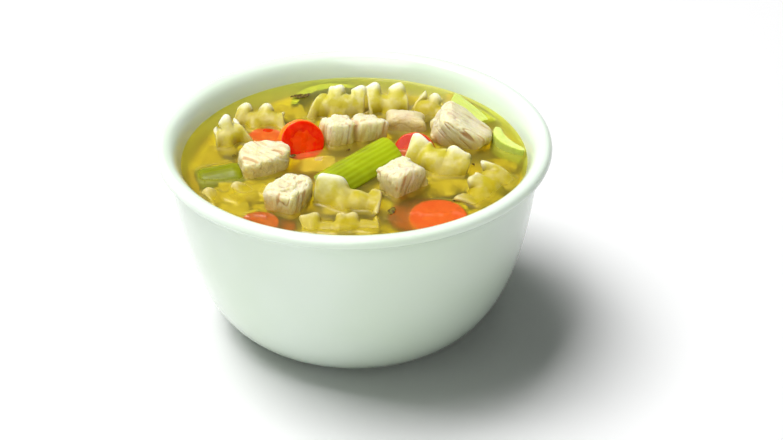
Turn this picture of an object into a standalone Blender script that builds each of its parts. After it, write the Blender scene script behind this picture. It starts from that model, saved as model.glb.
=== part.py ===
"""Chicken noodle soup in its round white bowl, built at full size in metres with +Z up.

The bowl stands on its foot ring at z = 0, with its axis on Z. The broth fills it to one level line. Diced
chicken, ruffled egg noodles, carrot coins and celery lie in the broth, each piece in a pocket of its own,
and stand out of it by different heights. The sizes below are in millimetres and become metres at the end.
"""

import math
from dataclasses import dataclass

import bmesh
import bpy
import numpy as np
from mathutils import Euler, Vector

METRES = 0.001

# Bowl and broth
RIM_RADIUS = 75.0
BOWL_HEIGHT = 76.5
BASE_RADIUS = 38.0
FOOT_WIDTH = 4.5
FOOT_HEIGHT = 1.2
FLOOR_THICKNESS = 5.5
WALL_TOP_RADIUS = 70.4
WALL_TOP_HEIGHT = 70.0
RIM_ROUNDING = 2.6
BROTH_LEVEL = 67.0
BROTH_RADIUS = 65.6
TURNED_STEPS = 40
WALL_SAMPLES = 6
RIM_SAMPLES = 5

# Space kept between touching pieces, and between a piece and the pocket that it lies in
PIECE_GAP = 0.3
POCKET_GAP = 0.55
CHUNK_POCKET_GAP = 1.1

# Food
NOODLE_THICKNESS = 1.7
LUMP_HEIGHT = 0.5
COIN_BEVEL = 0.7
CELERY_EDGE_SHARE = 0.5

# Facets: steps along and across a noodle, squares and sides of the blocks and coins, and of their pockets
NOODLE_STEPS = (10, 3)
STALK_STEPS = (2, 6)
CHUNK_CUTS = 3
POCKET_CHUNK_CUTS = 2
COIN_SIDES = 18
POCKET_COIN_SIDES = 12
SHARP_ANGLE = 50.0
WELD_DISTANCE = 0.01
EDGE_SHARE = 0.499


@dataclass(frozen=True)
class Place:
    """Where a piece's middle lies from the bowl's axis and base, and its turns in degrees.

    heading turns it about the vertical, pitch lifts its +X end and roll lifts its +Y side.
    """

    x: float
    y: float
    z: float
    heading: float = 0.0
    pitch: float = 0.0
    roll: float = 0.0

    def put(self, piece):
        """Moves and turns an object to this place."""
        piece.location = Vector((self.x, self.y, self.z)) * METRES
        piece.rotation_euler = Euler(np.radians((self.roll, -self.pitch, self.heading)), "XYZ")


@dataclass(frozen=True)
class Noodle:
    """A short flat strip of pasta with both long edges ruffled.

    bend is the angle that the strip turns along its length, cup the rise of its edges over its middle,
    twist the angle between its ends, and phases say where the ruffles start on the +Y and -Y edges.
    slants say how far the +Y edge lies towards +X of the -Y edge, at the -X end and at the +X end.
    """

    name: str
    place: Place
    length: float = 27.0
    width: float = 13.0
    bend: float = 0.0
    cup: float = -2.0
    twist: float = 0.0
    ruffle: float = 2.4
    waves: float = 2.2
    phases: tuple = (0.0, 150.0)
    slants: tuple = (0.0, 0.0)


@dataclass(frozen=True)
class Chunk:
    """A diced piece of chicken: a rounded block whose eight corners stray from the square."""

    name: str
    place: Place
    size: tuple
    seed: int
    stray: float = 0.22
    boxiness: float = 6.0


@dataclass(frozen=True)
class Coin:
    """A round slice of carrot, a little out of round."""

    name: str
    place: Place
    radius: float
    thickness: float
    oval: float = 0.03


@dataclass(frozen=True)
class Stalk:
    """A cut length of celery: a curved wall, thickest in its middle, with its round back on +Z.

    arc is the angle that its section spans, and slants are the slopes of its two cut ends.
    """

    name: str
    place: Place
    length: float
    radius: float
    arc: float
    thickness: float
    slants: tuple = (0.0, 0.0)


NOODLES = (
    Noodle(
        "noodle_back_left", Place(-8.6, 35, 71.5, 2, 0, 38), length=24, width=14,
        bend=20, cup=-3.2, waves=1.9, phases=(175, 60), slants=(7, 0),
    ),
    Noodle(
        "noodle_back_centre", Place(12.8, 38, 71, 4, 0, 38), length=16, width=13,
        bend=10, cup=-3.0, ruffle=2.8, waves=1.6, phases=(-55, 60),
    ),
    Noodle(
        "noodle_back_right", Place(29.4, 35.0, 68.5, -30, -5, 35), length=16, width=13,
        bend=30, cup=-3.0, ruffle=2.6, waves=1.7, phases=(60, 150), slants=(0, -4),
    ),
    Noodle(
        "noodle_right_inner", Place(31, -9, 70.5, -24, -6, 38), length=25, width=14,
        bend=25, cup=-3.0, waves=1.5, phases=(312, 10),
    ),
    Noodle(
        "noodle_right_outer", Place(50, -25, 68.5, 63, 8, 24), length=25, width=13,
        bend=10, cup=-3.0, waves=2.0, phases=(60, 200),
    ),
    Noodle(
        "noodle_front", Place(-2, -34.6, 69.7, -7, 0, 30), length=25, width=13.5,
        bend=10, cup=-2.5, twist=-64, ruffle=3.0, waves=1.28, phases=(205, 160),
    ),
    Noodle(
        "noodle_front_low", Place(-4, -51.5, 67.4, 3, 0, 20), length=28, width=12,
        bend=10, cup=-2.5, waves=2.0, phases=(20, 200),
    ),
    Noodle(
        "noodle_left", Place(-48, 11, 70.5, 25, 10, 45), length=16, width=13,
        bend=30, cup=-3.0, ruffle=2.8, waves=1.5, phases=(80, 200), slants=(4, -3),
    ),
    Noodle(
        "noodle_left_back", Place(-38, 27, 69, -5, 0, 30), length=23, width=12,
        bend=10, cup=-2.5, waves=2.0, phases=(0, 120), slants=(3, -3),
    ),
    Noodle(
        "noodle_left_front", Place(-42, -28, 66.4, 25, 0, 12), length=23, width=12,
        ruffle=2.2, waves=2.0, phases=(30, 160),
    ),
)

CHUNKS = (
    Chunk("chicken_centre", Place(-1.2, 15.5, 69.3, 20, -4, 0), (23.5, 11.2, 13), 3),
    Chunk("chicken_back", Place(19.8, 24.6, 67.2, -4, 0, 0), (17, 10.5, 12), 5),
    Chunk("chicken_right", Place(39.8, 14, 69.8, -12, -32, 0), (20.5, 16, 16), 8),
    Chunk("chicken_middle", Place(17.5, -22.0, 69.6, 42, 4, 0), (15.3, 14.5, 14), 12),
    Chunk("chicken_front_left", Place(-22.7, -33.7, 69.5, 60, 0, 0), (17.4, 11.5, 13), 15),
    Chunk("chicken_left", Place(-34, -7, 69, 20, 0, 0), (17.5, 14, 11), 21, 0.18),
)

COINS = (
    Coin("carrot_centre", Place(-20.5, 6.5, 70.3, 20, 0, 64), 8.5, 5.0),
    Coin("carrot_right", Place(23, 6.5, 65.5, -10, 0, 50), 7.8, 5.0),
    Coin("carrot_front_right", Place(31, -43, 65, 0, 0, 5), 11.0, 5.0),
    Coin("carrot_front_left", Place(-33.6, -46.6, 64.5, 0, 0, 5), 7.2, 5.0),
)

STALKS = (
    Stalk("celery_centre", Place(2, -9.8, 72.3, 50, 0, 0), 37, 11.5, 105, 5.0, (0.3, 0.3)),
    Stalk("celery_back_left", Place(-18.3, 60.1, 63.6, -58, 90, 0), 8, 17, 125, 5.0),
    Stalk("celery_right_back", Place(45.1, 36.6, 69, -50, -8, 0), 20, 7, 105, 3.5, (-0.6, 0.2)),
    Stalk("celery_right", Place(54.2, 7.4, 66.3, 27, 80, 0), 9, 14.5, 100, 5.0),
    Stalk("celery_left", Place(-52.8, -11, 69.5, 15, 0, 0), 15, 10, 120, 5.0),
)


def material(name, colour, roughness, subsurface=0.0):
    """A Principled finish with the colour of the real surface."""
    finish = bpy.data.materials.new(name)
    finish.use_nodes = True
    shader = finish.node_tree.nodes["Principled BSDF"]
    shader.inputs["Base Color"].default_value = (*colour, 1.0)
    shader.inputs["Roughness"].default_value = roughness
    shader.inputs["Metallic"].default_value = 0.0
    shader.inputs["Subsurface Weight"].default_value = subsurface
    finish.diffuse_color = (*colour, 1.0)
    return finish


def clear_scene():
    """Removes what the file starts with."""
    for old in list(bpy.data.objects):
        bpy.data.objects.remove(old, do_unlink=True)


def new_collection(name):
    """A collection in the scene."""
    made = bpy.data.collections.new(name)
    bpy.context.scene.collection.children.link(made)
    return made


def add_object(name, mesh_builder, collection, finish):
    """Turns a bmesh in millimetres into a smooth-shaded object in metres."""
    bmesh.ops.scale(mesh_builder, vec=(METRES,) * 3, verts=mesh_builder.verts)
    bmesh.ops.recalc_face_normals(mesh_builder, faces=mesh_builder.faces)
    mesh = bpy.data.meshes.new(name)
    mesh_builder.to_mesh(mesh)
    mesh_builder.free()
    mesh.shade_smooth()
    mesh.set_sharp_from_angle(angle=math.radians(SHARP_ANGLE))
    mesh.materials.append(finish)
    piece = bpy.data.objects.new(name, mesh)
    collection.objects.link(piece)
    return piece


def solidify(piece, thickness, offset, edge_group=None):
    """Gives an open surface its wall, thinner towards the edges where a vertex group says so."""
    wall = piece.modifiers.new("Wall", "SOLIDIFY")
    wall.thickness = thickness * METRES
    wall.offset = offset
    wall.use_even_offset = True
    if edge_group:
        wall.vertex_group = edge_group
        wall.thickness_vertex_group = CELERY_EDGE_SHARE


def bezier(start, first, second, end, share):
    """The point at this share of a cubic Bezier curve's run."""
    rest = 1.0 - share
    weights = (rest**3, 3 * rest**2 * share, 3 * rest * share**2, share**3)
    return tuple(sum(w * p[i] for w, p in zip(weights, (start, first, second, end))) for i in (0, 1))


def outer_wall():
    """The bowl's outside from under the rim down to the base, as (radius, height) points."""
    corners = ((BASE_RADIUS, 0.0), (56.0, 0.0), (66.5, 23.0), (WALL_TOP_RADIUS, WALL_TOP_HEIGHT))
    return [bezier(*corners, share) for share in np.linspace(1.0, 0.0, WALL_SAMPLES + 1)]


def inner_wall(inset=0.0):
    """The bowl's inside from the floor up to the broth line, moved in by an inset."""
    floor = FLOOR_THICKNESS + inset
    corners = ((30.0, floor), (50.0, floor), (62.0 - inset, 24.0), (BROTH_RADIUS - inset, BROTH_LEVEL))
    return [bezier(*corners, share) for share in np.linspace(0.0, 1.0, WALL_SAMPLES + 1)]


def rim_profile():
    """The round lip, from the broth side over the top to its outermost line and back under to the wall."""
    middle = (RIM_RADIUS - RIM_ROUNDING, BOWL_HEIGHT - RIM_ROUNDING)
    shoulder = [(67.0, 71.0), (69.3, 74.9)]
    angles = np.radians(np.linspace(100.0, -15.0, RIM_SAMPLES))
    arc = [(middle[0] + RIM_ROUNDING * math.cos(a), middle[1] + RIM_ROUNDING * math.sin(a)) for a in angles]
    return shoulder + arc + [(72.9, 70.9)]


def foot_profile():
    """The flat ring that the bowl stands on, and the shallow hollow inside it, from the outside in."""
    inside = BASE_RADIUS - FOOT_WIDTH
    return [(inside, 0.0), (inside - FOOT_HEIGHT, FOOT_HEIGHT), (0.0, FOOT_HEIGHT)]


def turned(name, profile, collection, finish):
    """A solid turned about Z from (radius, height) points that start and end on the axis."""
    outline = bmesh.new()
    corners = [outline.verts.new((radius, 0.0, height)) for radius, height in profile]
    for upper, lower in zip(corners, corners[1:]):
        outline.edges.new((upper, lower))
    piece = add_object(name, outline, collection, finish)
    screw = piece.modifiers.new("Turn", "SCREW")
    screw.steps = TURNED_STEPS
    screw.render_steps = TURNED_STEPS
    screw.use_merge_vertices = True
    screw.merge_threshold = WELD_DISTANCE * METRES
    screw.use_smooth_shade = True
    return piece


def make_bowl(collection, finish):
    """The bowl: floor and inner wall, round lip, outer wall and foot ring."""
    inside = [(0.0, FLOOR_THICKNESS)] + inner_wall()
    profile = inside + rim_profile() + outer_wall() + foot_profile()
    return turned("bowl", profile, collection, finish)


def make_broth(collection, finish, pockets):
    """The broth up to its level, with a pocket cut round each piece that lies in it."""
    side = inner_wall(PIECE_GAP)
    profile = [(0.0, BROTH_LEVEL)] + side[::-1] + [(0.0, FLOOR_THICKNESS + PIECE_GAP)]
    broth = turned("broth", profile, collection, finish)
    cut = broth.modifiers.new("Pockets", "BOOLEAN")
    cut.operation = "DIFFERENCE"
    cut.operand_type = "COLLECTION"
    cut.collection = pockets
    return broth


def grid(columns, rows):
    """An open square grid from -0.5 to 0.5 along X and Y."""
    sheet = bmesh.new()
    bmesh.ops.create_grid(sheet, x_segments=columns, y_segments=rows, size=0.5)
    return sheet


def noodle_point(noodle, along, across):
    """A point of the strip's middle surface, for shares of its length and width from -0.5 to 0.5.

    The centreline is an arc and the section a parabola that rises by the cup. On that section's own normal
    a sine wave grows with the square of the way to the edge, and starts elsewhere on the two edges.
    """
    share = 2 * across
    phase = math.radians(noodle.phases[0] if across > 0 else noodle.phases[1])
    wave = noodle.ruffle * share**2 * math.sin(2 * math.pi * noodle.waves * along + phase)
    normal = Vector((-2 * noodle.cup * share, noodle.width / 2)).normalized()
    section = Vector((across * noodle.width, noodle.cup * share**2)) + wave * normal
    turn = math.radians(noodle.twist) * along
    side = section.x * math.cos(turn) - section.y * math.sin(turn)
    height = section.x * math.sin(turn) + section.y * math.cos(turn)
    arc = math.radians(noodle.bend) * along
    lean = noodle.slants[0] * (0.5 - along) + noodle.slants[1] * (0.5 + along)
    run = along * noodle.length + lean * (0.5 + across)
    chord = run * (math.sin(arc) / arc if abs(arc) > 1e-6 else 1.0)
    drop = run * ((1 - math.cos(arc)) / arc if abs(arc) > 1e-6 else 0.0)
    return Vector((chord + height * math.sin(arc), side, -drop + height * math.cos(arc)))


def sheet_point(noodle, along, across, extra):
    """The same point, taken outwards in the plane of its facet by extra where it lies on the strip's edge."""
    point = noodle_point(noodle, along, across)
    shift = Vector((0.0, 0.0, 0.0))
    columns, rows = NOODLE_STEPS
    if abs(along) > EDGE_SHARE:
        inner = along - math.copysign(1 / columns, along)
        shift += extra * (point - noodle_point(noodle, inner, across)).normalized()
    if abs(across) > EDGE_SHARE:
        inner = across - math.copysign(1 / rows, across)
        shift += extra * (point - noodle_point(noodle, along, inner)).normalized()
    return point + shift


def noodle_solid(noodle, collection, finish, extra=0.0):
    """A noodle as a bent, ruffled sheet with its thickness, or its larger pocket."""
    sheet = grid(*NOODLE_STEPS)
    for corner in sheet.verts:
        corner.co = sheet_point(noodle, corner.co.x, corner.co.y, extra)
    bmesh.ops.triangulate(sheet, faces=sheet.faces, quad_method="FIXED")
    piece = add_object(noodle.name, sheet, collection, finish)
    solidify(piece, NOODLE_THICKNESS + 2 * extra, 0.0)
    noodle.place.put(piece)
    return piece


def chunk_point(chunk, cube, extra):
    """A point of the block's surface, for a point on the surface of the cube from -1 to 1.

    A power mean rounds the cube. Each of its corners strays by a seeded amount, shared out by trilinear
    weights, and two crossed sine waves add low lumps.
    """
    power = chunk.boxiness
    rounded = cube / (sum(abs(c) ** power for c in cube) ** (1 / power))
    half = Vector(chunk.size) / 2 + Vector((extra,) * 3)
    strays = np.random.RandomState(chunk.seed).uniform(-1, 1, (2, 2, 2, 3)) * chunk.stray
    shift = Vector((0.0, 0.0, 0.0))
    for corner in np.ndindex(2, 2, 2):
        weight = math.prod((1 + (2 * side - 1) * c) / 2 for side, c in zip(corner, rounded))
        shift += weight * Vector(strays[corner])
    phase = chunk.seed
    swell = math.sin(2.3 * rounded.x + phase) * math.sin(2.9 * rounded.y + 2 * phase + rounded.z)
    share = 1 + LUMP_HEIGHT * swell / min(half)
    return Vector(half[i] * (rounded[i] + shift[i]) * share for i in range(3))


def chunk_solid(chunk, collection, finish, extra=0.0, cuts=CHUNK_CUTS):
    """A piece of diced chicken, or its larger pocket."""
    block = bmesh.new()
    bmesh.ops.create_cube(block, size=2.0)
    bmesh.ops.subdivide_edges(block, edges=block.edges, cuts=cuts, use_grid_fill=True)
    for corner in block.verts:
        corner.co = chunk_point(chunk, corner.co.copy(), extra)
    piece = add_object(chunk.name, block, collection, finish)
    chunk.place.put(piece)
    return piece


def coin_solid(coin, collection, finish, extra=0.0, sides=COIN_SIDES, bevel=COIN_BEVEL):
    """A carrot coin with its sharp edge just broken, or its larger pocket."""
    disc = bmesh.new()
    radius = coin.radius + extra
    bmesh.ops.create_cone(
        disc, cap_ends=True, segments=sides, radius1=radius, radius2=radius, depth=coin.thickness + 2 * extra
    )
    for corner in disc.verts:
        out_of_round = 1 + coin.oval * math.sin(2 * math.atan2(corner.co.y, corner.co.x) + coin.radius)
        corner.co.x *= out_of_round
        corner.co.y *= out_of_round
    piece = add_object(coin.name, disc, collection, finish)
    if bevel:
        edge = piece.modifiers.new("Edge", "BEVEL")
        edge.width = bevel * METRES
        edge.segments = 1
        edge.limit_method = "ANGLE"
    coin.place.put(piece)
    return piece


def stalk_solid(stalk, collection, finish, extra=0.0):
    """A length of celery: its round back as an open sheet, with its wall inwards, or its larger pocket."""
    sheet = grid(*STALK_STEPS)
    radius = stalk.radius + extra
    grown = 1 + 2 * extra / (math.radians(stalk.arc) * stalk.radius)
    levels = {}
    for corner in sheet.verts:
        along, around = corner.co.x, corner.co.y
        levels[corner.index] = 1 - (2 * around) ** 2
        angle = around * math.radians(stalk.arc) * grown
        side = radius * math.sin(angle)
        slant = stalk.slants[1] if along > 0 else stalk.slants[0]
        run = along * (stalk.length + 2 * extra) + slant * side * abs(2 * along)
        rise = radius * math.cos(angle) - stalk.radius
        corner.co = Vector((run, side, rise))
    piece = add_object(stalk.name, sheet, collection, finish)
    group = piece.vertex_groups.new(name="thick")
    for index, weight in levels.items():
        group.add([index], weight, "REPLACE")
    solidify(piece, stalk.thickness + 2 * extra, -1.0, "thick")
    stalk.place.put(piece)
    return piece


def as_cutter(piece):
    """Marks an object as a shape that only cuts."""
    piece.name = "pocket_" + piece.name
    piece.hide_render = True
    piece.display_type = "WIRE"


def main():
    """Builds the bowl, the food and the broth round it."""
    clear_scene()
    soup = new_collection("chicken_noodle_soup")
    pockets = new_collection("pockets")
    glaze = material("white_glaze", (0.86, 0.90, 0.86), 0.12)
    gold = material("broth_gold", (0.52, 0.38, 0.02), 0.05)
    pasta = material("noodle_cream", (0.86, 0.74, 0.26), 0.35, 0.2)
    meat = material("chicken_white", (0.85, 0.72, 0.55), 0.45, 0.2)
    orange = material("carrot_orange", (0.85, 0.10, 0.01), 0.25)
    green = material("celery_green", (0.42, 0.60, 0.03), 0.3)

    make_bowl(soup, glaze)
    for noodle in NOODLES:
        noodle_solid(noodle, soup, pasta)
        as_cutter(noodle_solid(noodle, pockets, pasta, POCKET_GAP))
    for chunk in CHUNKS:
        chunk_solid(chunk, soup, meat)
        as_cutter(chunk_solid(chunk, pockets, meat, CHUNK_POCKET_GAP, POCKET_CHUNK_CUTS))
    for coin in COINS:
        coin_solid(coin, soup, orange)
        as_cutter(coin_solid(coin, pockets, orange, POCKET_GAP, POCKET_COIN_SIDES, 0.0))
    for stalk in STALKS:
        stalk_solid(stalk, soup, green)
        as_cutter(stalk_solid(stalk, pockets, green, POCKET_GAP))
    make_broth(soup, gold, pockets)


main()
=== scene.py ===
"""Chicken noodle soup in its white bowl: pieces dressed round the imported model, a pale studio and a camera.

Sizes are in millimetres and become metres where a mesh is made. The bowl's width and height come from the
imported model's own box, and the food lies where its solids lie. Every surface is worked out as whole arrays.
"""

import logging
import math
from dataclasses import dataclass, field
from enum import Enum

import bpy
import numpy as np
from mathutils import Euler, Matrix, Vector


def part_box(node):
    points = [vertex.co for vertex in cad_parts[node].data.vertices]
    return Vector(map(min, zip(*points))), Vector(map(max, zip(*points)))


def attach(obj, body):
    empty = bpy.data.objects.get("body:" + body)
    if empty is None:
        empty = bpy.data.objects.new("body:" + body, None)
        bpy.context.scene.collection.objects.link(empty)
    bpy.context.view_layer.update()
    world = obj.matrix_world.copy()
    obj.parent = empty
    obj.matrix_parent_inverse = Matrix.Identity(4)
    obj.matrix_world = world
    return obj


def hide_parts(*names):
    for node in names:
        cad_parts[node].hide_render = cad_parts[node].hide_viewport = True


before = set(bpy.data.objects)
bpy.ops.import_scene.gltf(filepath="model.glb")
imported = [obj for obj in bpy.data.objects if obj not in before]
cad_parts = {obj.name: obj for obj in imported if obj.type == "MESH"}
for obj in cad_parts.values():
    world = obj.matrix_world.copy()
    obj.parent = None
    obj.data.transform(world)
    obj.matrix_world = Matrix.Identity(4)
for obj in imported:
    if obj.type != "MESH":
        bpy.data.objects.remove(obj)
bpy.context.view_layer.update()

LOG = logging.getLogger("soup")
MM = 0.001
PAIRS_AT_ONCE = 4_000_000
BODY = "root"

Array = np.ndarray
Pair = tuple[float, float]
Triple = tuple[float, float, float]
Material = bpy.types.Material
Node = bpy.types.Node
Socket = bpy.types.NodeSocket

BROTH_LEVEL = 67.0
# Ends and handles, as (radius, height), of the curve that the bowl's inner wall follows up to the broth.
INNER_WALL = ((30.0, 5.5), (50.0, 5.5), (62.0, 24.0), (65.6, BROTH_LEVEL))


class Slot(Enum):
    """The record's material slots."""

    GLAZE = "glaze"
    BROTH = "broth"
    NOODLE = "noodle"
    CHICKEN = "chicken"
    CARROT = "carrot"
    CELERY = "celery"


# Noise, turning and placing of points


def hashed(cells: Array, seed: int) -> Array:
    """A repeatable random value from -1 to 1 for each of (n, 3) whole-numbered lattice cells."""
    at = cells.astype(np.int64).astype(np.uint64)
    mixed = at[:, 0] * np.uint64(73856093) ^ at[:, 1] * np.uint64(19349663) ^ at[:, 2] * np.uint64(83492791)
    mixed = (mixed ^ np.uint64(seed * 2654435761 % 2**32)) * np.uint64(0x9E3779B97F4A7C15)
    mixed = (mixed ^ (mixed >> np.uint64(29))) * np.uint64(0xBF58476D1CE4E5B9)
    return ((mixed >> np.uint64(40)) & np.uint64(0xFFFF)).astype(float) / 32767.5 - 1


def value_noise(points: Array, seed: int) -> Array:
    """Smooth noise in space.

    Each lattice point has a hashed value. Between them the eight nearest values are blended with the smooth
    step 3t^2 - 2t^3 along each axis.

    Args:
        points: positions in lattice steps, of any array shape whose last axis is x, y, z.
        seed: which noise.

    Returns:
        Values from -1 to 1, without that last axis.
    """
    flat = points.reshape(-1, 3)
    cell = np.floor(flat)
    share = flat - cell
    share = share * share * (3 - 2 * share)
    total = np.zeros(len(flat))
    for corner in np.ndindex(2, 2, 2):
        weight = np.prod(np.where(np.array(corner) == 1, share, 1 - share), axis=1)
        total += hashed(cell + corner, seed) * weight
    return total.reshape(points.shape[:-1])


def cell_values(points: Array, seed: int) -> Array:
    """Divides space among one strayed point per lattice cell.

    Args:
        points: (n, 3) positions, in lattice steps.
        seed: which set of points.

    Returns:
        (n,) values from -1 to 1, each the own value of the nearest strayed point.
    """
    cell = np.floor(points)
    nearest = np.full(len(points), 9.0)
    value = np.zeros(len(points))
    for step in np.ndindex(3, 3, 3):
        at = cell + np.array(step) - 1
        stray = np.stack([hashed(at, seed + axis) for axis in range(3)], axis=1)
        distance = np.linalg.norm(at + 0.5 + 0.42 * stray - points, axis=1)
        closer = distance < nearest
        value = np.where(closer, hashed(at, seed + 3), value)
        nearest = np.where(closer, distance, nearest)
    return value


def smooth_step(low: float, high: float, value: Array) -> Array:
    """0 below low, 1 above high, and 3t^2 - 2t^3 between them."""
    share = np.clip((value - low) / (high - low), 0, 1)
    return share * share * (3 - 2 * share)


def unit(vectors: Array) -> Array:
    """The vectors at length 1."""
    return vectors / np.maximum(np.linalg.norm(vectors, axis=-1, keepdims=True), 1e-9)


@dataclass(frozen=True)
class Place:
    """Where a piece's middle lies from the bowl's axis and base in millimetres, and its turns in degrees.

    heading turns it about the vertical, pitch lifts its +X end and roll lifts its +Y side.
    """

    x: float
    y: float
    z: float
    heading: float = 0.0
    pitch: float = 0.0
    roll: float = 0.0

    def put(self, points: Array) -> Array:
        """Turns and moves points of any array shape whose last axis is x, y, z."""
        angles = [math.radians(angle) for angle in (self.roll, -self.pitch, self.heading)]
        return points @ np.array(Euler(angles, "XYZ").to_matrix()).T + np.array((self.x, self.y, self.z))


# Meshes from grids


@dataclass
class Shell:
    """A closed surface: points in millimetres, faces of four and of three, and values at the points."""

    points: Array
    quads: Array
    triangles: Array = field(default_factory=lambda: np.zeros((0, 3), int))
    values: dict[str, Array] = field(default_factory=dict)

    def normals(self) -> Array:
        """The unit normals at the points of a shell of quads, as the sum of the face normals round each."""
        corners = self.points[self.quads]
        face = np.cross(corners[:, 2] - corners[:, 0], corners[:, 3] - corners[:, 1])
        total = np.zeros_like(self.points)
        for side in range(4):
            np.add.at(total, self.quads[:, side], face)
        return unit(total)


def joined(shells: list[Shell]) -> Shell:
    """Shells that carry the same values, as one."""
    starts = np.cumsum([0] + [len(shell.points) for shell in shells])
    return Shell(
        np.concatenate([shell.points for shell in shells]),
        np.concatenate([shell.quads + start for shell, start in zip(shells, starts)]),
        np.concatenate([shell.triangles + start for shell, start in zip(shells, starts)]),
        {name: np.concatenate([shell.values[name] for shell in shells]) for name in shells[0].values},
    )


def grid_quads(index: Array) -> Array:
    """The quads between neighbouring entries of a two-parameter array of point numbers."""
    return np.stack([index[:-1, :-1], index[1:, :-1], index[1:, 1:], index[:-1, 1:]], axis=-1).reshape(-1, 4)


def pillow(upper: Array, lower: Array, **values: tuple[Array, Array]) -> Shell:
    """A closed sheet from an upper and a lower grid that meet along their border.

    Args:
        upper: (columns, rows, 3) points of the upper side, whose border is the sheet's edge.
        lower: the same for the lower side. Its border isn't used.
        values: by name, (columns, rows) values on the upper side and on the lower side.

    Returns:
        The closed shell with those values.
    """
    columns, rows = upper.shape[:2]
    inside = (slice(1, -1), slice(1, -1))
    top = np.arange(columns * rows).reshape(columns, rows)
    bottom = top.copy()
    bottom[inside] = columns * rows + np.arange((columns - 2) * (rows - 2)).reshape(columns - 2, rows - 2)
    return Shell(
        np.concatenate([upper.reshape(-1, 3), lower[inside].reshape(-1, 3)]),
        np.concatenate([grid_quads(top), grid_quads(bottom)[:, ::-1]]),
        values={
            name: np.concatenate([above.reshape(-1), below[inside].reshape(-1)])
            for name, (above, below) in values.items()
        },
    )


def wheel(rows: Array, **values: Array) -> Shell:
    """A closed shell of rings round an axis.

    Args:
        rows: (rings, steps, 3) points. The first and the last ring are drawn together into a pole each.
        values: by name, (rings, steps) values.

    Returns:
        The closed shell with those values.
    """
    rings, steps = rows.shape[:2]
    index = np.arange((rings - 2) * steps).reshape(rings - 2, steps)
    around = np.concatenate([index, index[:, :1]], axis=1)
    first, last = index.size, index.size + 1
    points = np.concatenate([rows[1:-1].reshape(-1, 3), rows[:1, 0], rows[-1:, 0]])
    start = np.stack([np.full(steps, first), around[0, :-1], around[0, 1:]], axis=1)
    end = np.stack([np.full(steps, last), around[-1, 1:], around[-1, :-1]], axis=1)
    carried = {name: np.concatenate([v[1:-1].reshape(-1), v[0, :1], v[-1, :1]]) for name, v in values.items()}
    return Shell(points, grid_quads(around), np.concatenate([start, end]), carried)


def turned_profile(profile: Array, steps: int) -> Array:
    """The rings of a turned shape.

    Args:
        profile: (n, 2) radius and height, from the pole at the top, down the outside, to the pole below.
        steps: how many points a ring has.

    Returns:
        (n, steps, 3) points, for wheel.
    """
    angle = np.linspace(0, 2 * math.pi, steps, endpoint=False)
    radius, height = profile[:, :1], profile[:, 1:]
    return np.stack([radius * np.cos(angle), radius * np.sin(angle), height + 0 * angle], axis=-1)


def cube_ball(cuts: int) -> Shell:
    """The cube from -1 to 1 as six grids with merged borders, whose squares look even from its middle.

    Args:
        cuts: squares along each side. Each runs over the tangent of an even step of angle.

    Returns:
        The closed shell.
    """
    line = np.tan(np.linspace(-math.pi / 4, math.pi / 4, cuts + 1))
    first, second = np.meshgrid(line, line, indexing="ij")
    sides = []
    for axis in range(3):
        for end in (-1.0, 1.0):
            side = np.empty((cuts + 1, cuts + 1, 3))
            side[..., axis] = end
            side[..., (axis + 1) % 3] = first if end > 0 else second
            side[..., (axis + 2) % 3] = second if end > 0 else first
            sides.append(side)
    loose = np.concatenate([side.reshape(-1, 3) for side in sides])
    whole, index = np.unique(np.round(loose, 6), axis=0, return_inverse=True)
    index = index.reshape(6, cuts + 1, cuts + 1)
    return Shell(whole, np.concatenate([grid_quads(side) for side in index]))


def add_object(name: str, data: bpy.types.ID) -> bpy.types.Object:
    """A new object in the scene that shows this mesh, light or camera."""
    thing = bpy.data.objects.new(name, data)
    bpy.context.scene.collection.objects.link(thing)
    return thing


def make_piece(
    name: str, shell: Shell, finish: Material, nodes: tuple[str, ...] = (), sharp: float = 180.0
) -> None:
    """Puts a shell into a mesh at the origin, and makes it ride on the soup's one body.

    Args:
        name: the piece's name.
        shell: the surface, whose values become point attributes.
        finish: the material.
        nodes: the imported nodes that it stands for.
        sharp: the angle in degrees past which an edge stays sharp.
    """
    parts = (shell.quads, shell.triangles)
    sizes = np.concatenate([np.full(len(part), part.shape[1]) for part in parts])
    loops = np.concatenate([part.reshape(-1) for part in parts]).astype(np.int32)
    mesh = bpy.data.meshes.new(name)
    mesh.vertices.add(len(shell.points))
    mesh.vertices.foreach_set("co", (shell.points * MM).astype(np.float32).reshape(-1))
    mesh.loops.add(len(loops))
    mesh.loops.foreach_set("vertex_index", loops)
    mesh.polygons.add(len(sizes))
    mesh.polygons.foreach_set("loop_start", np.concatenate([[0], np.cumsum(sizes)[:-1]]).astype(np.int32))
    mesh.update(calc_edges=True)
    mesh.validate()
    for value_name, values in shell.values.items():
        attribute = mesh.attributes.new(value_name, "FLOAT", "POINT")
        attribute.data.foreach_set("value", values.astype(np.float32))
    mesh.shade_smooth()
    if sharp < 180.0:
        mesh.set_sharp_from_angle(angle=math.radians(sharp))
    mesh.materials.append(finish)
    piece = add_object(name, mesh)
    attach(piece, BODY)
    if nodes:
        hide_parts(*nodes)
    LOG.info("%s: %d faces for %s", name, len(sizes), ", ".join(nodes) or "no node")


# Shader building


def colour(display: Triple) -> tuple[float, float, float, float]:
    """A shader colour: red, green and blue display values of 0 to 255 in linear light, with an alpha of 1."""
    share = [value / 255 for value in display]
    linear = [v / 12.92 if v <= 0.04045 else ((v + 0.055) / 1.055) ** 2.4 for v in share]
    return (*linear, 1.0)


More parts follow.
